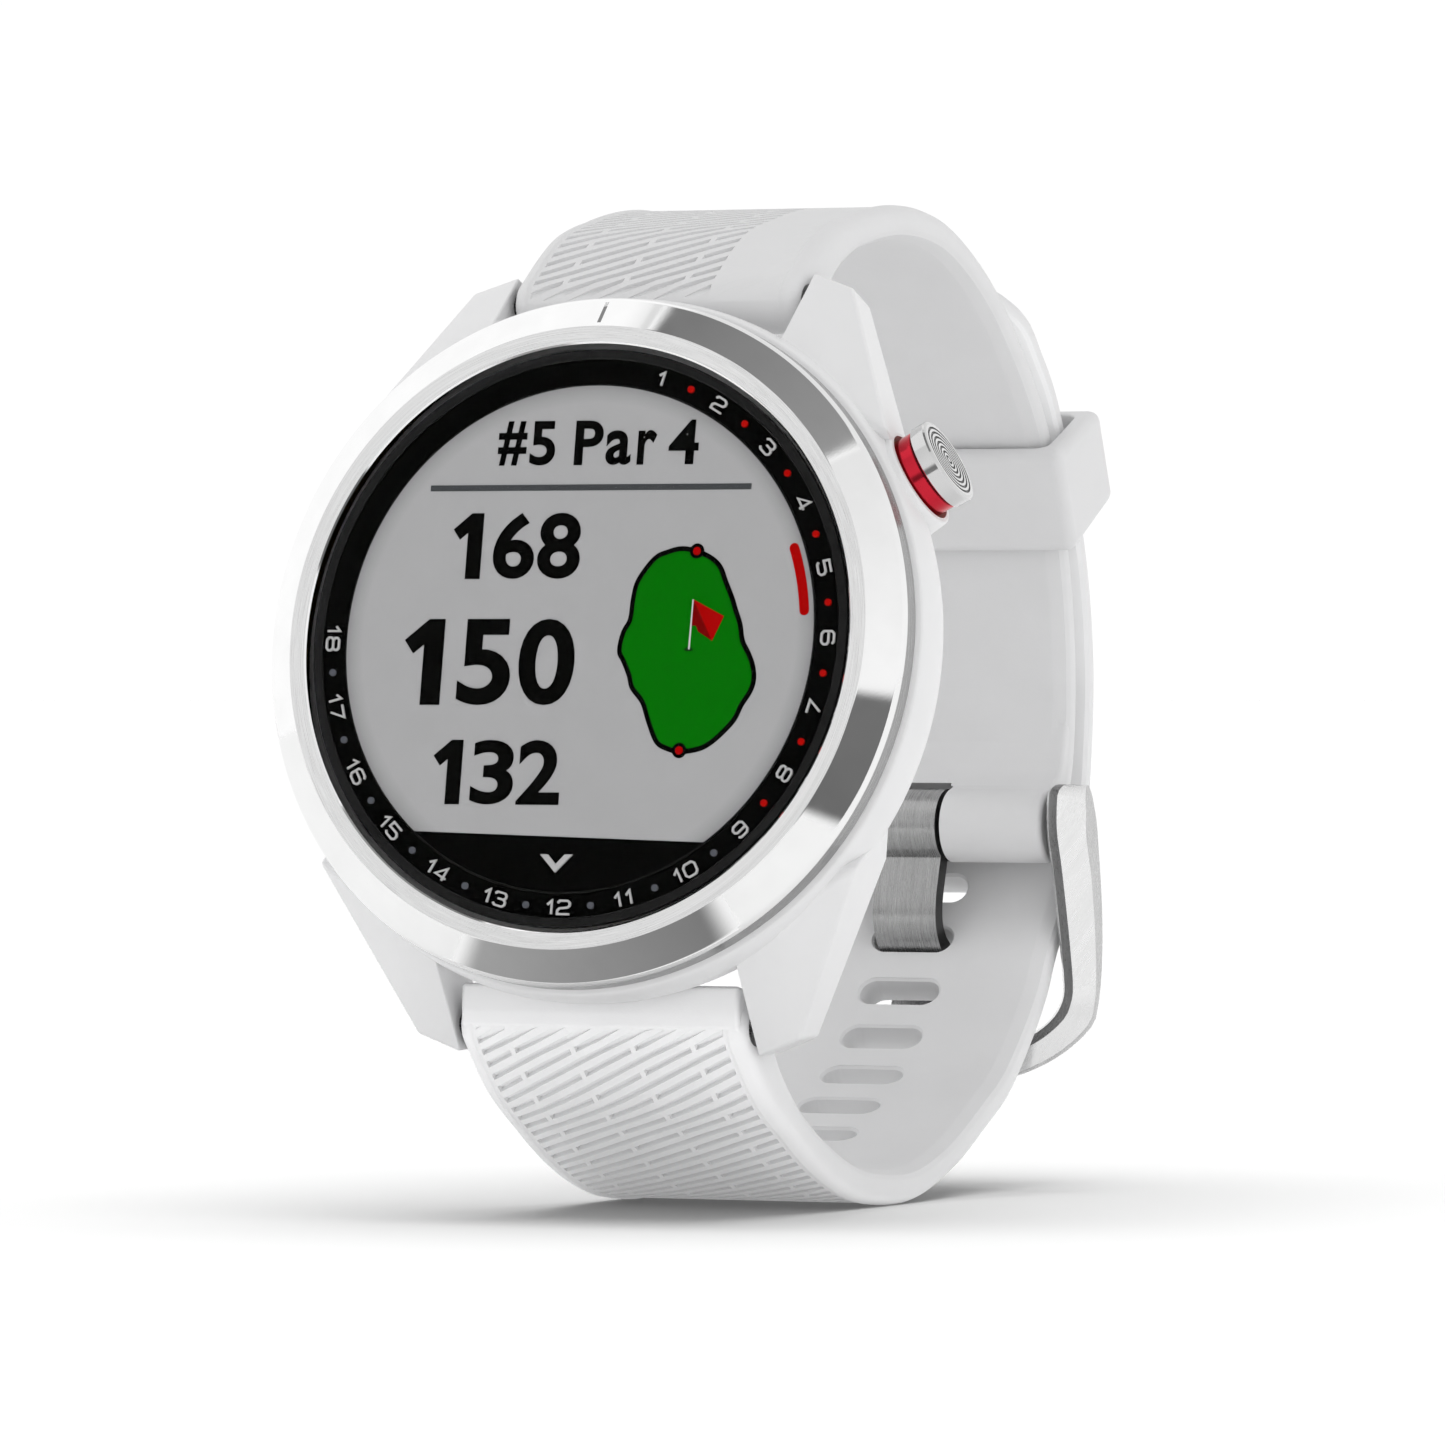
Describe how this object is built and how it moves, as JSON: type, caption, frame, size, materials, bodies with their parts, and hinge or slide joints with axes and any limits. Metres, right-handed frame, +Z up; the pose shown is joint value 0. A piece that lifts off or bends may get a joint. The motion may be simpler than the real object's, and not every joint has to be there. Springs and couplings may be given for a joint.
{
  "type": "golf gps watch",
  "caption": "Round sports wristwatch with a steel bezel, numbered dial ring, side button and a buckled silicone strap standing as a closed loop.",
  "frame": {"origin": "middle of the bounding box seen from above, on the surface that the strap stands on", "axes": "+X towards the 3 o'clock side, +Y from the dial to the back of the wrist loop, +Z up; the dial faces -Y and leans back 10 degrees"},
  "size_m": [0.0438, 0.0632, 0.0624],
  "materials": {
    "case_white": "fine satin fibre-reinforced polymer",
    "strap_silicone": "soft-touch white silicone",
    "bezel_steel": "brushed face and band, polished bevel",
    "lens": "clear, anti-reflection coated, chamfered edge",
    "dial_black": "gloss black with printed grey hole numbers",
    "display": "lit grey sunlight-readable screen",
    "diffuser": "milky light guide",
    "black_plastic": "fine matt",
    "flex_film": "amber polyimide film",
    "seal_rubber": "matt black",
    "circuit_board": "green solder mask",
    "shield_metal": "tinned sheet",
    "battery_foil": "silver pouch foil",
    "contact_gold": "gold plated",
    "bar_steel": "fine turned",
    "buckle_steel": "brushed faces with polished chamfers",
    "button_steel": "polished rim with turned circular grooves",
    "button_red": "red anodised, polished"
  },
  "bodies": {
    "case": {"case_middle": "case_white", "bezel_ring": "bezel_steel", "lens_glass": "lens", "dial_ring": "dial_black", "display_panel": "display", "backlight_sheet": "diffuser", "display_frame": "black_plastic", "display_flex": "flex_film", "lens_gasket": "seal_rubber", "case_back": "case_white", "back_gasket": "seal_rubber", "case_screw_1": "bar_steel", "case_screw_2": "bar_steel", "case_screw_3": "bar_steel", "case_screw_4": "bar_steel", "charge_port_seat": "black_plastic", "charge_pin_1": "contact_gold", "charge_pin_2": "contact_gold", "charge_pin_3": "contact_gold", "charge_pin_4": "contact_gold", "main_board": "circuit_board", "shield_can": "shield_metal", "gps_chip": "black_plastic", "battery": "battery_foil", "vibration_motor": "shield_metal", "gps_antenna": "contact_gold", "button_switch": "black_plastic", "upper_bar_tube": "bar_steel", "lower_bar_tube": "bar_steel", "upper_strap": "strap_silicone", "lower_strap": "strap_silicone"},
    "button": {"button_cap": "button_steel", "button_ring": "button_red", "button_stem": "button_steel", "button_seal": "seal_rubber", "button_clip": "bar_steel"},
    "buckle": {"buckle_frame": "buckle_steel", "buckle_bar": "bar_steel"},
    "tongue": {"buckle_tongue": "buckle_steel"},
    "keeper": {"strap_keeper": "strap_silicone"},
    "upper_release": {"upper_bar_pin": "bar_steel"},
    "lower_release": {"lower_bar_pin": "bar_steel"}
  },
  "joints": [
    {"name": "button_press", "type": "slide", "parent": "case", "child": "button", "axis": [-0.866, -0.0868, -0.4924], "range_m": [0, 0.0006], "stiffness_N_per_m": 2500, "springref_m": -0.0002},
    {"name": "buckle_swing", "type": "hinge", "parent": "case", "child": "buckle", "pos_m": [-0.00021, 0.02431, 0.02328], "axis": [1, 0, 0], "range_deg": [0, 3.5]},
    {"name": "tongue_swing", "type": "hinge", "parent": "buckle", "child": "tongue", "pos_m": [-0.00021, 0.02431, 0.02328], "axis": [1, 0, 0], "range_deg": [0, 2.5]},
    {"name": "keeper_slide", "type": "hinge", "parent": "case", "child": "keeper", "pos_m": [-0.00021, -0.00777, 0.03138], "axis": [1, 0, 0], "range_deg": [-6, 3]},
    {"name": "upper_bar_release", "type": "slide", "parent": "case", "child": "upper_release", "axis": [-1, 0, 0], "range_m": [0, 0.0013], "stiffness_N_per_m": 400, "springref_m": -0.0005},
    {"name": "lower_bar_release", "type": "slide", "parent": "case", "child": "lower_release", "axis": [-1, 0, 0], "range_m": [0, 0.0013], "stiffness_N_per_m": 400, "springref_m": -0.0005}
  ]
}
